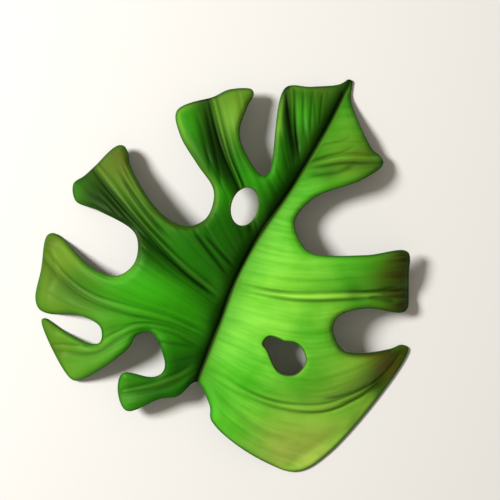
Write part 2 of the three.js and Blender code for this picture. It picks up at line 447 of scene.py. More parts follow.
class PackedLeaf:
    """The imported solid's outline, holes and arch, in mm from the notch where the stem joined.

    The notch is found from the solid's box, left_span in from its left side and base_drop up from its base.
    A face belongs to the top if its normal points up by facing_up or more.
    """

    left_span: float = 49.5
    base_drop: float = 14.0
    map_pitch: float = 0.4
    map_blur: float = 0.85
    facing_up: float = 0.05
    merge_digits: int = 3
    ray_height: float = 100.0
    least_weight: float = 1e-4

    def __init__(self, solid: bpy.types.Object) -> None:
        """Reads the solid.

        Args:
            solid: The CAD node, which isn't changed.
        """
        low, high = (np.array(corner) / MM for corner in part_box(NODE))
        self.notch = np.array([low[0] + self.left_span, low[1] + self.base_drop])
        self.low = low[:2] - self.notch
        self.high = high[:2] - self.notch
        mesh = solid.data
        places = np.empty(len(mesh.vertices) * 3)
        mesh.vertices.foreach_get("co", places)
        places = places.reshape(-1, 3) / MM
        places[:, :2] -= self.notch
        self.points, merged = np.unique(places.round(self.merge_digits), axis=0, return_inverse=True)
        corners = np.empty(len(mesh.loops), int)
        mesh.loops.foreach_get("vertex_index", corners)
        faces = merged.reshape(-1)[corners].reshape(-1, 3)
        first, second, third = (self.points[faces[:, corner]] for corner in range(3))
        normals = np.cross(second - first, third - first)
        normals /= np.linalg.norm(normals, axis=1, keepdims=True)
        self.top_faces = faces[normals[:, 2] > self.facing_up]
        self.top_map = self.read_heights()

    def loops(self) -> list[np.ndarray]:
        """Chains the top's open edges.

        Returns:
            The outline first, then each hole, with the clay on the left of each loop's run.
        """
        following = {}
        edges = {(a, b) for face in self.top_faces for a, b in zip(face, np.roll(face, -1))}
        for a, b in edges:
            if (b, a) not in edges:
                following[a] = b
        found = []
        while following:
            start = min(following)
            chain = [start]
            step = following.pop(start)
            while step != start:
                chain.append(step)
                step = following.pop(step)
            found.append(self.points[chain, :2])
        return sorted(found, key=len, reverse=True)

    def read_heights(self) -> HeightMap:
        """Drops a grid of rays on the top and smooths its facets away.

        Returns:
            A smooth map of the top's height.
        """
        corners = [tuple(point) for point in self.points]
        tree = BVHTree.FromPolygons(corners, [tuple(face) for face in self.top_faces.tolist()])
        margin = BELL_REACH * self.map_blur
        xs = np.arange(self.low[0] - margin, self.high[0] + margin, self.map_pitch)
        ys = np.arange(self.low[1] - margin, self.high[1] + margin, self.map_pitch)
        heights = np.zeros((len(ys), len(xs)))
        known = np.zeros_like(heights)
        down = Vector((0, 0, -1))
        for row, y in enumerate(ys):
            for column, x in enumerate(xs):
                hit = tree.ray_cast(Vector((x, y, self.ray_height)), down)[0]
                if hit:
                    heights[row, column] = hit.z
                    known[row, column] = 1
        sigma = self.map_blur / self.map_pitch
        weight = np.maximum(blurred(known, sigma), self.least_weight)
        return HeightMap(np.array([xs[0], ys[0]]), self.map_pitch, blurred(heights * known, sigma) / weight)


# ---- Flat pattern -------------------------------------------------------------------------------

def flat_tree(points: np.ndarray) -> KDTree:
    """Sorts flat points so that the nearest one is found fast.

    Args:
        points: Places on the flat pattern, in mm.

    Returns:
        A tree that finds the nearest of them to any place.
    """
    tree = KDTree(len(points))
    for number, (x, y) in enumerate(points):
        tree.insert((x, y, 0), number)
    tree.balance()
    return tree


class FlatPattern:
    """The blade cut out flat: even rim loops, and triangles that fill them. Sizes are in mm.

    A loop is inset by less, in rounds of easing, where an edge would shrink below its least share of length.
    The grid keeps clear of the loops by a share of the rim's step.
    """

    rim_step: float = 0.36
    clearance: float = 0.7
    inset_rounds: int = 30
    inset_easing: float = 0.85
    least_edge: float = 0.35
    merge_distance: float = 1e-6

    def __init__(self, loops: list[np.ndarray], edge_radius: float) -> None:
        """Smooths the loops and insets them by the radius of the rounded edge.

        Args:
            loops: The outline and the holes, with the clay on the left.
            edge_radius: Radius of the rounded rim, in mm.
        """
        self.rims = [smooth_line(loop, self.rim_step, closed=True) for loop in loops]
        self.insets = [self.inset(rim, edge_radius) for rim in self.rims]
        self.rim_points = np.vstack(self.rims)
        self.inset_points = np.vstack(self.insets)
        self.outward = self.rim_points - self.inset_points
        self.loop_starts = np.cumsum([0] + [len(rim) for rim in self.rims])
        self.tree = flat_tree(self.rim_points)

    def inset(self, rim: np.ndarray, radius: float) -> np.ndarray:
        """Moves a loop into the clay, by less where the rim turns too tightly for the whole radius.

        Args:
            rim: Points of the loop, with the clay on its left.
            radius: How far to move it, in mm.

        Returns:
            The moved points. Each belongs to the rim point of the same place.
        """
        run = np.roll(rim, -1, axis=0) - np.roll(rim, 1, axis=0)
        inward = np.column_stack([-run[:, 1], run[:, 0]]) / np.linalg.norm(run, axis=1, keepdims=True)
        amount = np.full(len(rim), radius)
        edges = np.roll(rim, -1, axis=0) - rim
        for _ in range(self.inset_rounds):
            moved = rim + inward * amount[:, None]
            new_edges = np.roll(moved, -1, axis=0) - moved
            tight = (new_edges * edges).sum(1) < self.least_edge * (edges * edges).sum(1)
            if not tight.any():
                break
            crowded = tight | np.roll(tight, 1) | np.roll(tight, -1) | np.roll(tight, 2)
            amount = np.where(crowded, amount * self.inset_easing, amount)
            amount = (np.roll(amount, 1) + 2 * amount + np.roll(amount, -1)) / 4
        return rim + inward * amount[:, None]

    def loop_edges(self) -> list[tuple[int, int]]:
        """Pairs each rim point with the next on its loop.

        Returns:
            The numbers of both points of each pair.
        """
        pairs = []
        for start, end in zip(self.loop_starts[:-1], self.loop_starts[1:]):
            ids = np.arange(start, end)
            pairs += list(zip(ids.tolist(), np.roll(ids, -1).tolist()))
        return pairs

    def holds(self, points: np.ndarray) -> np.ndarray:
        """Tells which points lie inside the inset outline and outside the holes.

        Args:
            points: Places on the flat pattern, in mm.

        Returns:
            True for each point that lies on the clay.
        """
        inside = np.zeros(len(points), bool)
        for loop in self.insets:
            for a, b in zip(loop, np.roll(loop, -1, axis=0)):
                if a[1] == b[1]:
                    continue
                crosses = (a[1] > points[:, 1]) != (b[1] > points[:, 1])
                reach = a[0] + (points[:, 1] - a[1]) / (b[1] - a[1]) * (b[0] - a[0])
                inside ^= crosses & (points[:, 0] < reach)
        return inside

    def rim_distance(self, points: np.ndarray) -> tuple[np.ndarray, np.ndarray]:
        """Measures how far each point is from the nearest rim.

        Args:
            points: Places on the flat pattern, in mm.

        Returns:
            The distances, and True where the nearest rim is the outline and not a hole.
        """
        found = [self.tree.find((x, y, 0)) for x, y in points]
        distance = np.array([match[2] for match in found])
        on_outline = np.array([match[1] for match in found]) < len(self.rims[0])
        return distance, on_outline

    def grid(self, step: float) -> np.ndarray:
        """Lays a triangular grid over the clay.

        Args:
            step: Distance between neighbours, in mm.

        Returns:
            The grid's points inside the inset loops.
        """
        low, high = self.inset_points.min(0), self.inset_points.max(0)
        rows = []
        for row, y in enumerate(np.arange(low[1], high[1], step * math.sin(math.pi / 3))):
            xs = np.arange(low[0] + (row % 2) * step / 2, high[0], step)
            rows.append(np.column_stack([xs, np.full(len(xs), y)]))
        points = np.vstack(rows)
        return points[self.holds(points)]

    def fill(self, grid: np.ndarray) -> tuple[np.ndarray, np.ndarray]:
        """Joins the inset loops and the points of a grid into triangles.

        Args:
            grid: Points inside the inset loops, in mm.

        Returns:
            Points, which begin with the inset loops' own, and triangles that turn anticlockwise.
        """
        inset_tree = flat_tree(self.inset_points)
        room = np.array([inset_tree.find((x, y, 0))[2] for x, y in grid])
        points = np.vstack([self.inset_points, grid[room > self.clearance * self.rim_step]])
        vectors = [Vector((x, y)) for x, y in points]
        whole_hull = 0      # Fills the points' whole hull. What lies off the clay is dropped below.
        filled = delaunay_2d_cdt(vectors, self.loop_edges(), [], whole_hull, self.merge_distance, True)
        faces, sources = filled[2:4]
        triangles = np.array([[sources[corner][0] for corner in face] for face in faces])
        on_rim = (triangles < len(self.inset_points)).all(1)
        middles = points[triangles].mean(1)
        keep = ~on_rim
        keep[on_rim] = self.holds(middles[on_rim])
        triangles = triangles[keep]
        a, b, c = (points[triangles[:, corner]] for corner in range(3))
        turn = (b[:, 0] - a[:, 0]) * (c[:, 1] - a[:, 1]) - (b[:, 1] - a[:, 1]) * (c[:, 0] - a[:, 0])
        triangles[turn < 0] = triangles[turn < 0][:, ::-1]
        return points, triangles


# ---- Paint --------------------------------------------------------------------------------------

@dataclass(frozen=True)
class DustSpot:
    """Powder colour brushed on round a place. Sizes are in mm, and the place is counted from the notch.

    A rim width above 0 keeps the powder on the rim.
    """

    x: float
    y: float
    radius: float
    amount: float
    rim_width: float = 0.0


DUST_SPOTS = {
    Dust.DEEP: (
        DustSpot(5, -1, 6, 0.6), DustSpot(-19, 13, 10, 0.8), DustSpot(-9, 14, 6, 0.6),
        DustSpot(-8.5, 54, 5, 0.6), DustSpot(-14, 46, 5, 0.6), DustSpot(-8, 69, 4, 0.6),
        DustSpot(-30, 57, 5.5, 0.6), DustSpot(-49, 29, 3.5, 0.6), DustSpot(-27, 17, 7, 0.5),
        DustSpot(26, 44, 6, 0.4), DustSpot(6, 62, 6, 0.4), DustSpot(26, 14, 6, 0.3),
    ),
    # Painted shade: dark green on the low panels and folds that face away from the light.
    Dust.DARK: (
        DustSpot(-41, 28, 4.5, 0.7), DustSpot(-35, 27, 4, 0.6), DustSpot(-39, 6, 4, 0.3),
        DustSpot(24, 37, 2.5, 0.4), DustSpot(5, 60, 3, 0.4), DustSpot(40.5, 19, 3, 0.5),
    ),
    # Partly a lighter yellow-green tone and partly painted light on panels and rims that face the light; the
    # spots with a rim width are painted highlights on the rim.
    Dust.LIME: (
        DustSpot(34, 19, 8, 0.7), DustSpot(37, 9, 8, 0.7), DustSpot(9, 33, 9, 0.35),
        DustSpot(8, 20, 8, 0.25), DustSpot(24, 0, 9, 0.4), DustSpot(32, 3, 7, 0.5),
        DustSpot(22, 31, 4.5, 0.4), DustSpot(-20, 63, 5, 0.28), DustSpot(-14.5, 70, 3.5, 0.5),
        DustSpot(-12.5, 64, 2.5, 0.4), DustSpot(-47, 14, 5, 0.5), DustSpot(-27, 18, 7, 0.5, 0.6),
        DustSpot(36, 15, 6, 0.6), DustSpot(-6, 43, 4, 0.8, 0.7), DustSpot(-17.5, 44, 7, 0.5, 0.8),
        DustSpot(-33, 56, 8, 0.45, 1.2), DustSpot(-15, 70, 9, 0.5, 1.2),
    ),
    Dust.OLIVE: (
        DustSpot(-47, 12, 9, 0.9), DustSpot(-43, 3, 7, 0.5), DustSpot(-23, 66, 8, 0.5),
        DustSpot(-42, 40, 9, 0.8), DustSpot(-32, 36, 8, 0.35), DustSpot(9, 67, 9, 0.6),
        DustSpot(-6, 79, 5, 0.3), DustSpot(40, 16, 9, 0.4), DustSpot(-35, -8, 12, 0.6),
    ),
    # A yellow tint low on the right lobe; the spot with a rim width is a painted highlight on the lit rim of
    # the right hole.
    Dust.GOLD: (
        DustSpot(28, -5, 8, 0.65), DustSpot(36, -2, 7, 0.4), DustSpot(20.5, 13.5, 4, 0.9, 0.7),
    ),
    Dust.RUST: (
        DustSpot(40.5, 25, 5.5, 0.75), DustSpot(34, 46, 8, 0.5), DustSpot(36, 28, 8, 0.8, 1.3),
    ),
    Dust.BROWN: (
        DustSpot(35, 47, 7, 1.0), DustSpot(33, 52, 5, 0.8), DustSpot(38, 40, 6, 0.9),
        DustSpot(43.5, 30, 5, 1.0), DustSpot(41.5, 20, 3, 0.6), DustSpot(14, 70, 5, 0.35),
        DustSpot(-36, 7, 7, 0.35), DustSpot(-48, 15, 5, 0.4), DustSpot(-42, 41, 7, 0.55),
        DustSpot(-27, 35, 14, 0.8, 0.9), DustSpot(-20, 36, 9, 0.7, 0.9), DustSpot(33, 27, 8, 0.7, 0.9),
        DustSpot(-28, 64, 11, 0.7, 0.8), DustSpot(-6, 78, 12, 0.5, 0.8), DustSpot(40, 5, 16, 0.5, 0.9),
    ),
}


def dusting(dust: Dust, points: np.ndarray, rim: np.ndarray) -> np.ndarray:
    """Adds up one powder's spots.

    Args:
        dust: Which powder.
        points: Places on the flat pattern, in mm.
        rim: Distance of each from the rim, in mm.

    Returns:
        How much of the powder lies at each place, from 0 to 1.
    """
    bare = np.ones(len(points))
    for spot in DUST_SPOTS[dust]:
        distance = np.hypot(points[:, 0] - spot.x, points[:, 1] - spot.y)
        cover = spot.amount * bell(distance, spot.radius)
        if spot.rim_width > 0:
            cover = cover * bell(rim, spot.rim_width)
        bare *= 1 - cover
    return 1 - bare


# ---- Finishes -----------------------------------------------------------------------------------

@dataclass(frozen=True)
class PaintedClay:
    """Air-dried modelling clay, rolled and pressed, painted green and dusted with powder colours.

    It gives the eye a satin green skin with streaks along the ribs, dry edges and no clear mirror, with
    painted shade in the grooves, on the vein walls, in the midrib's valley, along the rim and underneath,
    and painted highlights on the ridges. Sizes are in mm, and each range says from which value of a pattern
    a change starts and where it is whole.
    """

    name: str = "painted_air_dried_clay"
    green: str = "#3ba414"
    fresh_green: str = "#6cc736"
    deep_green: str = "#145905"
    shaded_green: str = "#0d2c03"
    # Painted shade in the midrib's valley.
    valley_green: str = "#081c02"
    # Painted highlight on the ridges of the left half.
    ridge_green: str = "#6f9c30"
    deep_dust: str = "#329a0a"
    # Dark green of the painted shade in low places.
    dark_dust: str = "#103c05"
    # Yellow-green of the lighter patches and of the painted light.
    lime: str = "#9fe046"
    olive: str = "#64821f"
    gold: str = "#c8d65e"
    rust: str = "#6e4a14"
    brown: str = "#36310b"
    roughness: float = 0.5
    specular: float = 0.2
    sheen_tint: str = "#d6ffa0"
    ior: float = 1.46
    streak_spacing: float = 1.3
    streak_stretch: float = 0.045
    streak_detail: float = 3.0
    streak_roughness: float = 0.6
    mottle_size: float = 9.0
    mottle_detail: float = 3.0
    fresh_range: Range = (0.14, 0.42)
    powder_range: Range = (0.7, 1.3)
    powder_catch: Range = (0.75, 1.5)
    gloss_range: Range = (0.3, 0.7)
    gloss_swing: Range = (-0.06, 0.08)
    grain_size: float = 0.35
    grain_depth: float = 0.03
    grain_detail: float = 4.0
    grain_strength: float = 0.6
    line_spacing: float = 0.75
    line_depth: float = 0.08
    line_detail: float = 4.0
    line_roughness: float = 0.65
    line_strength: float = 0.8

    def build(self) -> bpy.types.Material:
        """Builds the material.

        Returns:
            A material that reads the blade's own attributes and its object coordinates.
        """
        material = bpy.data.materials.new(self.name)
        material.use_nodes = True
        tree = material.node_tree
        tree.nodes.clear()
        attribute = {
            name: add_node(tree, "ShaderNodeAttribute", attribute_name=name).outputs["Fac"]
            for name in ("flow", "reach", "deep", "valley", "groove", "shade", "ridge", "edge",
                         "deep_dust", "dark_dust", "lime", "olive", "gold", "rust", "brown")
        }
        place = add_node(tree, "ShaderNodeTexCoord").outputs["Object"]

        streaks = self.ribwise(tree, attribute, self.streak_spacing, self.streak_detail,
                               self.streak_roughness)
        mottle = add_node(tree, "ShaderNodeTexNoise", {
            "Vector": place, "Scale": 1 / (self.mottle_size * MM), "Detail": self.mottle_detail,
        }).outputs["Fac"]
        fresh = add_node(tree, "ShaderNodeMath", {0: streaks, 1: mottle}, operation="MULTIPLY").outputs[0]
        fresh = self.remap(tree, fresh, self.fresh_range, (0.0, 1.0))
        colour = self.mix(tree, fresh, linear_colour(self.green), linear_colour(self.fresh_green))
        colour = self.mix(tree, attribute["deep"], colour, linear_colour(self.deep_green))
        powders = {Dust.DEEP: self.deep_dust, Dust.LIME: self.lime, Dust.OLIVE: self.olive,
                   Dust.GOLD: self.gold, Dust.RUST: self.rust, Dust.BROWN: self.brown,
                   Dust.DARK: self.dark_dust}
        for dust, tint in powders.items():
            amount = self.broken(tree, attribute[dust.value], streaks, mottle)
            colour = self.mix(tree, amount, colour, linear_colour(tint))
        # Painted light and shade over the powders: a highlight on the ridges, and shade along the rim, on
        # the vein walls, in the grooves and in the midrib's valley.
        for name, tint in (("ridge", self.ridge_green), ("edge", self.deep_green),
                           ("shade", self.shaded_green), ("groove", self.shaded_green),
                           ("valley", self.valley_green)):
            colour = self.mix(tree, attribute[name], colour, linear_colour(tint))

        lines = self.ribwise(tree, attribute, self.line_spacing, self.line_detail, self.line_roughness)
        line_bump = add_node(tree, "ShaderNodeBump", {
            "Height": lines, "Strength": self.line_strength, "Distance": self.line_depth * MM,
        }).outputs["Normal"]
        grain = add_node(tree, "ShaderNodeTexNoise", {
            "Vector": place, "Scale": 1 / (self.grain_size * MM), "Detail": self.grain_detail,
        }).outputs["Fac"]
        bump = add_node(tree, "ShaderNodeBump", {
            "Height": grain, "Strength": self.grain_strength, "Distance": self.grain_depth * MM,
            "Normal": line_bump,
        }).outputs["Normal"]
        gloss = tuple(self.roughness + swing for swing in self.gloss_swing)
        shader = add_node(tree, "ShaderNodeBsdfPrincipled", {
            "Base Color": colour, "Roughness": self.remap(tree, mottle, self.gloss_range, gloss),
            "Normal": bump, "IOR": self.ior, "Specular IOR Level": self.specular,
            "Specular Tint": linear_colour(self.sheen_tint),
        })
        add_node(tree, "ShaderNodeOutputMaterial", {"Surface": shader.outputs["BSDF"]})
        return material

    def ribwise(self, tree: bpy.types.NodeTree, attribute: dict, spacing: float, detail: float,
                roughness: float) -> bpy.types.NodeSocket:
        """Adds a noise that is drawn out along the ribs.

        Args:
            tree: Node tree of the material.
            attribute: Sockets of the blade's attributes, by name.
            spacing: Size of the noise across the ribs, in mm.
            detail: Detail of the noise.
            roughness: Roughness of the noise.

        Returns:
            The noise's socket.
        """
        across = add_node(tree, "ShaderNodeMath", {0: attribute["flow"], 1: 1 / spacing},
                          operation="MULTIPLY").outputs[0]
        along = add_node(tree, "ShaderNodeMath", {0: attribute["reach"], 1: self.streak_stretch},
                         operation="MULTIPLY").outputs[0]
        place = add_node(tree, "ShaderNodeCombineXYZ", {"X": across, "Y": along}).outputs[0]
        return add_node(tree, "ShaderNodeTexNoise", {
            "Vector": place, "Scale": 1.0, "Detail": detail, "Roughness": roughness,
        }).outputs["Fac"]

    def broken(self, tree: bpy.types.NodeTree, amount: bpy.types.NodeSocket,
               streaks: bpy.types.NodeSocket, mottle: bpy.types.NodeSocket) -> bpy.types.NodeSocket:
        """Breaks a powder's even cover up, so that it catches on the ribs and thins between them.

        Args:
            tree: Node tree of the material.
            amount: The even cover.
            streaks: Noise along the ribs.
            mottle: Soft noise all over.

        Returns:
            The broken cover's socket.
        """
        catch = add_node(tree, "ShaderNodeMath", {0: streaks, 1: mottle}, operation="ADD").outputs[0]
        catch = self.remap(tree, catch, self.powder_range, self.powder_catch)
        return add_node(tree, "ShaderNodeMath", {0: amount, 1: catch}, operation="MULTIPLY",
                        use_clamp=True).outputs[0]

    @staticmethod
    def mix(tree: bpy.types.NodeTree, factor: Source, first: Source, second: Source) -> bpy.types.NodeSocket:
        """Mixes two colours, each a socket or a value, and returns the mixed colour's socket."""
        inputs = {MIX_FACTOR: factor, MIX_FIRST: first, MIX_SECOND: second}
        return add_node(tree, "ShaderNodeMix", inputs, data_type="RGBA").outputs[MIX_RESULT]

    @staticmethod
    def remap(tree: bpy.types.NodeTree, value: Source, source: Range, target: Range) -> bpy.types.NodeSocket:
        """Stretches one range of values over another.

        Args:
            tree: Node tree of the material.
            value: The value to stretch.
            source: The range that it has.
            target: The range that it gets.

        Returns:
            The stretched value's socket.
        """
        inputs = {"Value": value, "From Min": source[0], "From Max": source[1], "To Min": target[0],
                  "To Max": target[1]}
        return add_node(tree, "ShaderNodeMapRange", inputs).outputs["Result"]


@dataclass(frozen=True)
class MattCard:
    """Pale matt card under the leaf. It gives the eye a quiet ground that shows soft shadows."""

    name: str = "pale_matt_card"
    colour: str = "#e8e6e1"
    roughness: float = 0.85

    def build(self) -> bpy.types.Material:
        """Builds the material.

        Returns:
            A plain matt material.
        """
        material = bpy.data.materials.new(self.name)
        material.use_nodes = True
        shader = material.node_tree.nodes["Principled BSDF"]
        shader.inputs["Base Color"].default_value = linear_colour(self.colour)
        shader.inputs["Roughness"].default_value = self.roughness
        return material


# ---- Ribs ---------------------------------------------------------------------------------------

@dataclass
class RibPress:
    """The veining tool's fine ribs, which follow the fan of veins over the top of the blade.

    Spacings are in the fan's own steps, which come to about 1 mm, and depths are in mm. Wander and cut width
    are shares of the cut spacing.
    """

    spacing: float = 1.7
    depth: float = 0.16
    cut_spacing: float = 3.2
    cut_depth: float = 0.16
    cut_width: float = 0.2
    wander: float = 0.5
    stretch: float = 22.0
    seed: float = 4.0
    noise_detail: float = 2.0
    noise_roughness: float = 0.5
    noise_middle: float = 0.5

    def tree(self) -> bpy.types.NodeTree:
        """Builds the node tree.

        Returns:
            A tree that moves each vertex along its normal by the rib that its flow and reach give.
        """
        tree = bpy.data.node_groups.new("rib_press", "GeometryNodeTree")
        face = tree.interface
        face.new_socket("Geometry", in_out="OUTPUT", socket_type="NodeSocketGeometry")
        face.new_socket("Geometry", in_out="INPUT", socket_type="NodeSocketGeometry")
        for name in ("Rib spacing", "Rib depth", "Cut spacing", "Cut depth", "Cut width", "Wander",
                     "Stretch", "Seed"):
            face.new_socket(name, in_out="INPUT", socket_type="NodeSocketFloat")
        face.new_socket("Clay", in_out="INPUT", socket_type="NodeSocketMaterial")
        source = add_node(tree, "NodeGroupInput").outputs
        read = {
            name: add_node(tree, "GeometryNodeInputNamedAttribute", {"Name": name},
                           data_type="FLOAT").outputs["Attribute"]
            for name in ("flow", "reach", "press")
        }

        def calculate(operation: str, first: Source, second: Source) -> bpy.types.NodeSocket:
            """Adds one sum to the tree and returns its result."""
            return add_node(tree, "ShaderNodeMath", {0: first, 1: second}, operation=operation).outputs[0]

        across = calculate("DIVIDE", read["flow"], source["Rib spacing"])
        along = calculate("DIVIDE", read["reach"], source["Stretch"])
        place = add_node(tree, "ShaderNodeCombineXYZ", {"X": across, "Y": along, "Z": source["Seed"]})
        noise = add_node(tree, "ShaderNodeTexNoise", {
            "Vector": place.outputs[0], "Scale": 1.0, "Detail": self.noise_detail,
            "Roughness": self.noise_roughness,
        }).outputs["Fac"]
        rib = calculate("MULTIPLY", calculate("SUBTRACT", noise, self.noise_middle), source["Rib depth"])
        wander = calculate("MULTIPLY", noise, source["Wander"])
        cut_place = calculate("ADD", calculate("DIVIDE", read["flow"], source["Cut spacing"]), wander)
        cells = add_node(tree, "ShaderNodeTexVoronoi", {"W": cut_place, "Scale": 1.0},
                         voronoi_dimensions="1D", feature="DISTANCE_TO_EDGE").outputs["Distance"]
        groove = add_node(tree, "ShaderNodeMapRange", {
            "Value": cells, "From Min": 0.0, "From Max": source["Cut width"], "To Min": -1.0, "To Max": 0.0,
        }, interpolation_type="SMOOTHSTEP").outputs["Result"]
        cut = calculate("MULTIPLY", groove, source["Cut depth"])
        lift = calculate("MULTIPLY", calculate("ADD", rib, cut), read["press"])
        normal = add_node(tree, "GeometryNodeInputNormal").outputs[0]
        offset = add_node(tree, "ShaderNodeVectorMath", {0: normal, "Scale": lift}, operation="SCALE")
        moved = add_node(tree, "GeometryNodeSetPosition", {"Geometry": source["Geometry"],
                                                           "Offset": offset.outputs[0]})
        smooth = add_node(tree, "GeometryNodeSetShadeSmooth", {"Geometry": moved.outputs[0]})
        real = add_node(tree, "GeometryNodeRealizeInstances", {"Geometry": smooth.outputs[0]})
        dressed = add_node(tree, "GeometryNodeSetMaterial", {"Geometry": real.outputs[0],
                                                             "Material": source["Clay"]})
        add_node(tree, "NodeGroupOutput", {"Geometry": dressed.outputs[0]})
        return tree

    def press(self, blade: bpy.types.Object, clay: bpy.types.Material) -> bpy.types.Object:
        """Presses the ribs into the blade and makes the result a plain mesh.

        Args:
            blade: The smooth blade.
            clay: Its material.

        Returns:
            The same object with the pressed mesh.
        """
        tree = self.tree()
        values = {
            "Rib spacing": self.spacing, "Rib depth": 2 * self.depth * MM, "Cut spacing": self.cut_spacing,
            "Cut depth": self.cut_depth * MM, "Cut width": self.cut_width, "Wander": self.wander,
            "Stretch": self.stretch, "Seed": self.seed, "Clay": clay,
        }
        modifier = blade.modifiers.new("rib_press", "NODES")
        modifier.node_group = tree
        for item in tree.interface.items_tree:
            if item.in_out == "INPUT" and item.name in values:
                modifier[item.identifier] = values[item.name]
        bpy.context.view_layer.update()
        graph = bpy.context.evaluated_depsgraph_get()
        pressed = bpy.data.meshes.new_from_object(blade.evaluated_get(graph))
        blade.modifiers.remove(modifier)
        blade.data = pressed
        return blade


# ---- Blade --------------------------------------------------------------------------------------

@dataclass
class Relief:
    """What pressing adds at each point: height in mm, and from 0 to 1 the painted shade of a groove and of a
    shaded wall, and the painted highlight of a ridge.
    """

    lift: np.ndarray
    groove: np.ndarray
    shade: np.ndarray
    ridge: np.ndarray


@dataclass(frozen=True)
class VeiningTool:
    """How the midrib, the veins and the creases are pressed. Sizes are in mm, and the rest are shares.

    A beat is the slow change of the hand's pressure along a vein. The base side of a vein is its steep one.
    """

    midrib_depth: float = 0.75
    midrib_left_width: float = 1.5
    midrib_right_width: float = 0.4
    slit_depth: float = 0.35
    slit_width: float = 0.55
    fade: float = 0.3
    fade_start: float = 0.7
    root_wall: float = 0.22
    root_run: float = 0.7
    tip_side_width: float = 4.5
    beat_length: float = 5.0
    beat_shift: float = 2.0
    groove_offset: float = 0.78
    groove_width: float = 0.38
    groove_sway: float = 0.2
    groove_spread: float = 0.25
    base_side_hand: float = 0.8
    base_side_beat: float = 0.2
    tip_side_hand: float = 0.75
    tip_side_beat: float = 0.25
    ridge_height: float = 0.13
    ridge_width: float = 0.46
    ridge_hand: float = 0.7
    ridge_beat: float = 0.3
    shade_offset: float = 0.6
    crease_fade: float = 0.25
    full_groove: float = 0.5

    def relief(self, fan: VeinFan, places: FanPlaces) -> Relief:
        """Sums the midrib, the pressed veins and the creases.

        Args:
            fan: The veins and creases as smooth lines.
            places: Points measured against them.

        Returns:
            Height to add at each point, and how deep it lies in a groove or in a vein's shaded wall.
        """
        spine = places.spine
        width = np.where(spine.side < 0, self.midrib_left_width, self.midrib_right_width)
        lift = -self.midrib_depth * bell(spine.distance, width)
        lift -= self.slit_depth * bell(spine.distance, self.slit_width)
        total = Relief(lift, *(np.zeros(len(lift)) for _ in range(3)))
        for number, (vein, line, near) in enumerate(zip(VEINS, fan.lines, places.veins)):
            in_half = spine.side == vein.half.value
            self.press_vein(total, vein, number, near, line_length(line), in_half)
        for crease, line, near in zip(CREASES, fan.creases, places.creases):
            length = line_length(line)
            start = smooth_step(near.along, 0, self.crease_fade * length)
            end = 1 - smooth_step(near.along, (1 - self.crease_fade) * length, length)
            pressed = start * end * bell(near.distance, crease.width)
            total.lift -= pressed * crease.depth
            # The crease gets painted shade as well as depth.
            total.groove = np.maximum(total.groove, pressed * crease.depth / self.full_groove)
        return total

    def press_vein(self, total: Relief, vein: Vein, number: int, near: Nearest, length: float,
                   in_half: np.ndarray) -> None:
        """Presses one vein into the relief.

        Args:
            total: Relief that gets the vein.
            vein: The vein.
            number: Its place in the list of veins, which shifts its beat.
            near: Points measured against its line.
            length: Length of its line, in mm.
            in_half: True for the points on the vein's half of the blade.
        """
        rise = in_half * smooth_step(near.along, 0, vein.rise)
        strength = rise * (1 - self.fade * smooth_step(near.along, self.fade_start * length, length))
        across = near.distance * near.side * -vein.half.value
        root_run = smooth_step(near.along, 0, self.root_run * length)
        root_share = self.root_wall + (1 - self.root_wall) * root_run
        steep = vein.wall * root_share
        wall = np.where(across < 0, steep, self.tip_side_width)
        total.lift -= strength * vein.trough * bell(across, wall)

        beat = np.sin(near.along / self.beat_length + self.beat_shift * number)
        spread = self.groove_offset * (
            1 + self.groove_sway * beat + self.groove_spread * near.along / length)
        hand = np.where(across < 0, self.base_side_hand + self.base_side_beat * beat,
                        self.tip_side_hand - self.tip_side_beat * beat)
        pressed = strength * hand * bell(near.distance - spread, self.groove_width)
        total.lift -= pressed * vein.groove
        # Painted shade in the vein's grooves.
        total.groove = np.maximum(total.groove, pressed * vein.groove / self.full_groove)

        ridge_width = self.ridge_width * (1 + near.along / length)
        on_ridge = strength * (self.ridge_hand + self.ridge_beat * beat) * bell(near.distance, ridge_width)
        total.lift += on_ridge * self.ridge_height * (vein.groove > 0)
        # Painted highlight along the ridge.
        total.ridge = np.maximum(total.ridge, on_ridge * vein.painted_ridge_highlight)

        # Painted shade on the steep wall on the base side.
        on_wall = (across < 0) * bell(across + self.shade_offset * steep, steep)
        total.shade = np.maximum(total.shade, strength * root_share * vein.shade * on_wall)


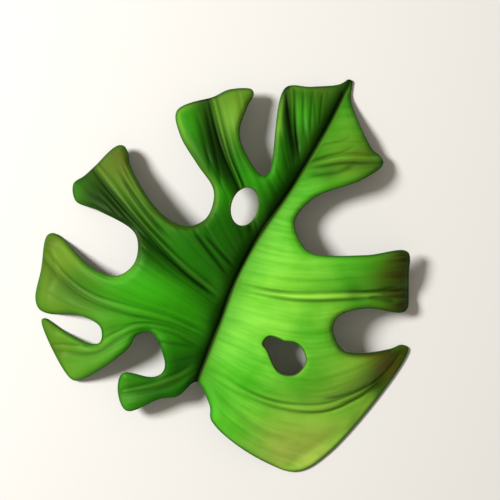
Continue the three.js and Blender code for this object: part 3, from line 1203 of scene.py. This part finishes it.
@dataclass(frozen=True)
class PaintPlan:
    """Where the ribs and the paint change over the blade.

    Each range says where a change starts and where it is whole: in mm from the midrib, the rim or the notch,
    or, for orders, in steps of the fan. Widths are in mm and the rest are shares.
    """

    rib_start: Range = (0.8, 4)
    rib_rim: Range = (0.2, 1.6)
    right_press: float = 0.4
    left_calm: float = 0.5
    left_calm_range: Range = (14, 30)
    left_end_press: float = -0.25
    left_end_orders: Range = (58, 66)
    right_end_press: float = 1.2
    right_end_orders: Range = (36, 48)
    deep_cover: float = 0.94
    fresh_share: float = 0.4
    fresh_range: Range = (8, 22)
    fresh_orders: Range = (9, 25)
    valley_width: float = 2.0
    valley_growth: float = 1.6
    valley_grows: Range = (-2, 16)
    valley_narrows: Range = (60, 74)
    valley_share: float = 0.5
    valley_line_width: float = 1.0
    right_valley_width: float = 0.55
    right_haze: float = 0.3
    right_haze_width: float = 4.5
    right_groove_paint: float = 0.7
    midrib_dust: float = 0.5
    midrib_dust_offset: float = 0.3
    midrib_dust_width: float = 0.7
    painted_rim_shade: float = 0.75
    painted_rim_shade_width: float = 0.6

    def rib_press(self, places: FanPlaces, rim: np.ndarray) -> np.ndarray:
        """Gives how strongly the ribs are pressed.

        Args:
            places: Points measured against the veins.
            rim: Distance of each from the rim, in mm.

        Returns:
            The strength at each point, where 1 is the tool's whole depth.
        """
        spine = places.spine
        on_left = spine.side < 0
        near_midrib = smooth_step(spine.distance, *self.rib_start)
        left_press = 1 - self.left_calm * smooth_step(spine.distance, *self.left_calm_range)
        half_press = np.where(on_left, left_press, self.right_press)
        left_end = self.left_end_press * smooth_step(places.flow, *self.left_end_orders)
        right_end = self.right_end_press * smooth_step(places.flow, *self.right_end_orders)
        in_end_lobe = 1 + np.where(on_left, left_end, right_end)
        return half_press * in_end_lobe * near_midrib * smooth_step(rim, *self.rib_rim)

    def valley(self, points: np.ndarray, spine: Nearest) -> np.ndarray:
        """Gives the painted shade that lies in the valley of the midrib, with a faint haze of it spread on
        the right.

        Args:
            points: Places on the flat pattern, in mm.
            spine: The same points measured against the midrib.

        Returns:
            How much of it lies at each point, from 0 to 1.
        """
        grown = smooth_step(points[:, 1], *self.valley_grows)
        wide = 1 - smooth_step(points[:, 1], *self.valley_narrows)
        width = self.valley_width + self.valley_growth * grown * wide
        soft = self.valley_share * bell(spine.distance, width)
        left = soft + (1 - self.valley_share) * bell(spine.distance, self.valley_line_width)
        haze = self.right_haze * bell(spine.distance, self.right_haze_width)
        right = np.maximum(bell(spine.distance, self.right_valley_width), haze)
        return np.where(spine.side < 0, left, right)

    def attributes(self, points: np.ndarray, rim: np.ndarray, places: FanPlaces, relief: Relief,
                   press: float, unlit: float = 0.0) -> dict[str, np.ndarray]:
        """Gives what the ribs and the paint are made from.

        Args:
            points: Places on the flat pattern, in mm.
            rim: Distance of each from the rim, in mm.
            places: The same points measured against the veins.
            relief: What pressing adds at them.
            press: How strongly the ribs are pressed, from 0 to 1.
            unlit: How much of the underside's painted shade lies here, from 0 to 1.

        Returns:
            Attribute names and their values.
        """
        spine = places.spine
        on_left = spine.side < 0
        far_out = smooth_step(spine.distance, *self.fresh_range)
        fresher = far_out * (1 - smooth_step(places.flow, *self.fresh_orders))
        values = {
            "flow": places.flow,
            "reach": spine.distance,
            "press": press * self.rib_press(places, rim),
            "deep": on_left * (self.deep_cover - self.fresh_share * fresher),
            # Painted shade in the midrib's valley.
            "valley": self.valley(points, spine),
            # Painted shade in the grooves, weaker on the right half.
            "groove": relief.groove * np.where(on_left, 1.0, self.right_groove_paint),
            # Painted shade on the vein walls and underneath.
            "shade": np.maximum(relief.shade, unlit),
            # Painted highlight on the ridges of the left half.
            "ridge": relief.ridge * on_left,
            # Painted shade in a thin band along the rim.
            "edge": self.painted_rim_shade * bell(rim, self.painted_rim_shade_width),
        }
        for dust in Dust:
            values[dust.value] = dusting(dust, points, rim)
        # The right half's ridges get a painted highlight in this yellow-green.
        values[Dust.LIME.value] = np.maximum(values[Dust.LIME.value], relief.ridge * ~on_left)
        dusted = bell(spine.distance - self.midrib_dust_offset, self.midrib_dust_width) * ~on_left
        values[Dust.BROWN.value] = np.maximum(values[Dust.BROWN.value], self.midrib_dust * dusted)
        return values


@dataclass
class LeafBlade:
    """The blade: one sheet of clay with a rounded, thumbed-down rim. Sizes are in mm.

    The curl is the wide fall towards the rim, and the roll is the tight one at the very edge. Show-through
    is the share of the pressed lines that the underside keeps.
    """

    thickness: float = 0.9
    top_step: float = 0.4
    vein_step: float = 0.21
    vein_band: float = 1.4
    under_step: float = 0.7
    edge_turns: int = 6
    curl_drop: float = 0.9
    curl_width: float = 2.8
    roll_drop: float = 0.75
    roll_width: float = 1.1
    hole_calm: float = 1.4
    least_top: float = 0.75
    floor_blend: float = 0.25
    slope_reach: float = 0.5
    show_through: float = 0.55
    under_shade: float = 0.75
    tool: VeiningTool = VeiningTool()
    paint: PaintPlan = PaintPlan()

    def __post_init__(self) -> None:
        """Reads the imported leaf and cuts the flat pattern."""
        self.packed = PackedLeaf(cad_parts[NODE])
        self.pattern = FlatPattern(self.packed.loops(), self.thickness / 2)
        self.fan = VeinFan()

    def arch(self, points: np.ndarray, rim: np.ndarray) -> np.ndarray:
        """Gives the smooth top of the blade, with its rim thumbed down.

        Args:
            points: Places on the flat pattern, in mm.
            rim: Distance of each from the rim, in mm.

        Returns:
            Height of each point above the surface, in mm.
        """
        curl = np.clip(1 - rim / self.curl_width, 0, 1) ** 2
        roll = np.clip(1 - rim / self.roll_width, 0, 1) ** 2
        return self.packed.top_map.at(points) - self.curl_drop * curl - self.roll_drop * roll

    def top_height(self, points: np.ndarray, rim: np.ndarray, relief: Relief) -> np.ndarray:
        """Gives the height of the pressed top, with a soft turn where it meets its lowest height.

        Args:
            points: Places on the flat pattern, in mm.
            rim: Distance of each from the rim, in mm.
            relief: What pressing adds at them.

        Returns:
            Height of each point above the surface, in mm.
        """
        height = self.arch(points, rim) + relief.lift
        above = np.sqrt((height - self.least_top) ** 2 + self.floor_blend**2)
        return (height + self.least_top + above) / 2

    def under_height(self, points: np.ndarray, rim: np.ndarray, relief: Relief) -> np.ndarray:
        """Gives the height of the underside: the arch less the clay, and flat where it rests.

        Args:
            points: Places on the flat pattern, in mm.
            rim: Distance of each from the rim, in mm.
            relief: What pressing adds to the top there.

        Returns:
            Height of each point above the surface, in mm.
        """
        reach = self.slope_reach
        shifts = (np.array([reach, 0]), np.array([0, reach]))
        slopes = [(self.arch(points + s, rim) - self.arch(points - s, rim)) / (2 * reach) for s in shifts]
        stretch = np.sqrt(1 + slopes[0] ** 2 + slopes[1] ** 2)
        top = self.arch(points, rim) + self.show_through * relief.lift
        return np.maximum(top - self.thickness * stretch, 0)

    def top_grid(self) -> np.ndarray:
        """Lays an even grid, and a finer one along the veins and creases so that their lines stay crisp.

        Returns:
            The points of both, in mm.
        """
        even = self.pattern.grid(self.top_step)
        fine = self.pattern.grid(self.vein_step)
        even = even[self.fan.nearest_line(even) > self.vein_band]
        fine = fine[self.fan.nearest_line(fine) <= self.vein_band]
        return np.vstack([even, fine])

    def skin(self, grid: np.ndarray) -> tuple[np.ndarray, np.ndarray, np.ndarray, FanPlaces]:
        """Joins a grid into a skin and measures its points against the rim and the veins.

        Args:
            grid: Points inside the inset loops, in mm.

        Returns:
            The skin's points, its triangles, each point's distance from the rim and its place in the fan.
            A hole's rim counts as further off, because it is thumbed down less.
        """
        points, triangles = self.pattern.fill(grid)
        distance, on_outline = self.pattern.rim_distance(points)
        rim = np.where(on_outline, distance, distance + self.hole_calm * (distance < self.curl_width))
        return points, triangles, rim, self.fan.place(points)

    def rounded_edge(self, top: np.ndarray, under: np.ndarray) -> list[np.ndarray]:
        """Rolls the edge round from the top's rim to the underside's.

        Args:
            top: Height of the top at each inset rim point.
            under: Height of the underside there.

        Returns:
            One row of points for each turn between the two.
        """
        rows = []
        middle = (top + under) / 2
        half = (top - under) / 2
        for turn in range(1, self.edge_turns):
            angle = math.pi / 2 - math.pi * turn / self.edge_turns
            flat = self.pattern.inset_points + self.pattern.outward * math.cos(angle)
            rows.append(np.column_stack([flat, middle + half * math.sin(angle)]))
        return rows

    def build(self, clay: bpy.types.Material) -> bpy.types.Object:
        """Builds, presses and dresses the blade.

        Args:
            clay: The blade's material.

        Returns:
            The finished piece.
        """
        top, top_faces, top_rim, top_places = self.skin(self.top_grid())
        under, under_faces, under_rim, under_places = self.skin(self.pattern.grid(self.under_step))
        top_relief = self.tool.relief(self.fan, top_places)
        under_relief = self.tool.relief(self.fan, under_places)
        top_z = self.top_height(top, top_rim, top_relief)
        under_z = self.under_height(under, under_rim, under_relief)
        edge_count = len(self.pattern.inset_points)
        edge_rows = self.rounded_edge(top_z[:edge_count], under_z[:edge_count])

        points = np.vstack([np.column_stack([top, top_z]), np.column_stack([under, under_z]), *edge_rows])
        under_start = len(top)
        edge_start = under_start + len(under)
        starts = [0, *(edge_start + row * edge_count for row in range(len(edge_rows))), under_start]
        faces = [tuple(face) for face in top_faces.tolist()]
        faces += [tuple(face[::-1]) for face in (under_faces + under_start).tolist()]
        for upper, lower in zip(starts[:-1], starts[1:]):
            for a, b in self.pattern.loop_edges():
                faces.append((upper + b, upper + a, lower + a, lower + b))

        attributes = self.paint.attributes
        edge = self.pattern.inset_points
        edge_places = self.fan.place(edge)
        edge_relief = self.tool.relief(self.fan, edge_places)
        # The underside gets painted shade, and the rounded edge's rows get more of it the lower they lie.
        groups = [
            attributes(top, top_rim, top_places, top_relief, press=1.0),
            attributes(under, under_rim, under_places, under_relief, press=0.0, unlit=self.under_shade),
        ]
        for row in range(1, len(edge_rows) + 1):
            unlit = self.under_shade * row / len(edge_rows)
            groups.append(attributes(edge, np.zeros(edge_count), edge_places, edge_relief, 0.0, unlit))

        mesh = bpy.data.meshes.new(PIECE)
        points[:, :2] += self.packed.notch
        mesh.from_pydata((points * MM).tolist(), [], faces)
        for name in groups[0]:
            values = np.concatenate([group[name] for group in groups])
            mesh.attributes.new(name, "FLOAT", "POINT").data.foreach_set("value", values)
        mesh.shade_smooth()
        mesh.update()
        blade = bpy.data.objects.new(PIECE, mesh)
        bpy.context.scene.collection.objects.link(blade)
        blade = RibPress().press(blade, clay)
        LOG.info("%s: %d faces", PIECE, len(blade.data.polygons))
        return blade


# ---- Studio -------------------------------------------------------------------------------------

@dataclass
class Studio:
    """A pale card, a soft key light from the left and a camera that looks straight down. In metres."""

    leaf_turn: float = 27.1
    view_width: float = 0.122
    focal_length: float = 100.0
    sensor_width: float = 36.0
    card_size: float = 8.0
    key_energy: float = 7.3
    key_size: float = 0.22
    key_distance: float = 0.75
    key_azimuth: float = 163.0
    key_elevation: float = 43.0
    fill_strength: float = 0.28
    fill_colour: str = "#fff6e8"
    card_drop: float = 0.00002

    def lay_card(self) -> bpy.types.Object:
        """Lays the card just under the leaf.

        Returns:
            The card.
        """
        half = self.card_size / 2
        corners = [(x * half, y * half, -self.card_drop) for x, y in ((-1, -1), (1, -1), (1, 1), (-1, 1))]
        mesh = bpy.data.meshes.new("card")
        mesh.from_pydata(corners, [], [(0, 1, 2, 3)])
        mesh.materials.append(MattCard().build())
        card = bpy.data.objects.new("card", mesh)
        bpy.context.scene.collection.objects.link(card)
        return card

    def set_camera(self) -> bpy.types.Object:
        """Hangs the camera over the middle of the leaf, turned so that the leaf leans to the right.

        Returns:
            The camera.
        """
        low, high = (Vector(corner) for corner in cad_bounds)
        middle = (low + high) / 2
        data = bpy.data.cameras.new("camera")
        data.lens = self.focal_length
        data.sensor_width = self.sensor_width
        camera = bpy.data.objects.new("camera", data)
        distance = self.view_width * self.focal_length / self.sensor_width
        camera.location = (middle.x, middle.y, middle.z + distance)
        camera.rotation_euler = (0, 0, math.radians(self.leaf_turn))
        bpy.context.scene.collection.objects.link(camera)
        bpy.context.scene.camera = camera
        return camera

    def light(self) -> None:
        """Sets the key light, which rakes across the veins from the left of the view, and a soft fill."""
        azimuth = math.radians(self.key_azimuth + self.leaf_turn)
        elevation = math.radians(self.key_elevation)
        towards = Vector((math.cos(azimuth) * math.cos(elevation), math.sin(azimuth) * math.cos(elevation),
                          math.sin(elevation)))
        data = bpy.data.lights.new("key", "AREA")
        data.shape = "DISK"
        data.size = self.key_size
        data.energy = self.key_energy
        key = bpy.data.objects.new("key", data)
        key.location = towards * self.key_distance
        key.rotation_euler = towards.to_track_quat("Z", "Y").to_euler()
        bpy.context.scene.collection.objects.link(key)
        world = bpy.data.worlds.new("studio")
        world.use_nodes = True
        background = world.node_tree.nodes["Background"]
        background.inputs["Color"].default_value = linear_colour(self.fill_colour)
        background.inputs["Strength"].default_value = self.fill_strength
        bpy.context.scene.world = world
        bpy.context.scene.view_settings.view_transform = "Standard"

    def build(self) -> None:
        """Sets up the whole studio."""
        self.set_camera()
        self.lay_card()
        self.light()
        LOG.info("studio: camera, card and lights")


def main() -> None:
    """Builds the studio and the leaf, and ties the leaf to the frame."""
    logging.basicConfig(level=logging.INFO, format="%(name)s: %(message)s")
    Studio().build()
    blade = LeafBlade().build(PaintedClay().build())
    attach(blade, BODY)
    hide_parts(NODE)


if __name__ == "__main__":
    main()
